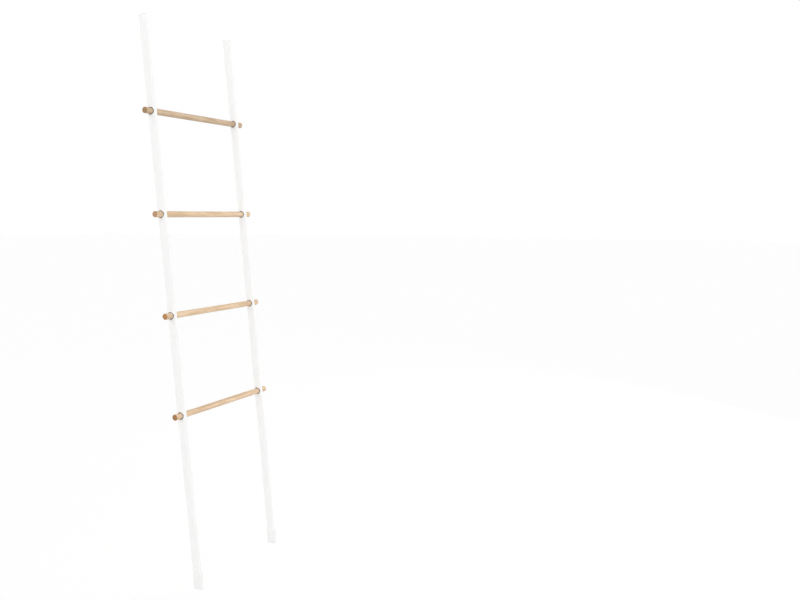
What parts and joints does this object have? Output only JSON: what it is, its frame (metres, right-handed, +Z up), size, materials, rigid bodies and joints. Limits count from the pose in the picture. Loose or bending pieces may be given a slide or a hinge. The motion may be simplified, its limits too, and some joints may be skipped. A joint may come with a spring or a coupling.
{
  "type": "blanket ladder",
  "caption": "Leaning ladder for blankets and towels: slim white flat-oval tube rails joined by round natural oak rungs that pass through the rails and stand out past them.",
  "frame": {"origin": "on the floor, under the middle of the ladder's whole outline", "axes": "+Z up, +X along the rungs to the right as seen from the room, +Y towards the wall that the ladder leans on"},
  "size_m": [0.494, 0.1926, 1.8442],
  "materials": {
    "white_powder_coat": "satin white powder coat on steel tube",
    "natural_oak": "pale oak, clear matt lacquer, grain along the rod",
    "black_nylon": "moulded, matt",
    "white_plastic": "moulded, matt",
    "pale_rubber": "soft, matt",
    "zinc_steel": "bright zinc plate"
  },
  "bodies": {
    "root": {"left_rail": "white_powder_coat", "left_foot": "pale_rubber", "left_top_plug": "white_plastic", "left_rung_screws": "zinc_steel", "left_rung_saddle_1": "black_nylon", "left_rung_saddle_2": "black_nylon", "left_rung_saddle_3": "black_nylon", "left_rung_saddle_4": "black_nylon", "right_rail": "white_powder_coat", "right_foot": "pale_rubber", "right_top_plug": "white_plastic", "right_rung_screws": "zinc_steel", "right_rung_saddle_1": "black_nylon", "right_rung_saddle_2": "black_nylon", "right_rung_saddle_3": "black_nylon", "right_rung_saddle_4": "black_nylon", "rung_1": "natural_oak", "rung_2": "natural_oak", "rung_3": "natural_oak", "rung_4": "natural_oak"}
  },
  "joints": []
}
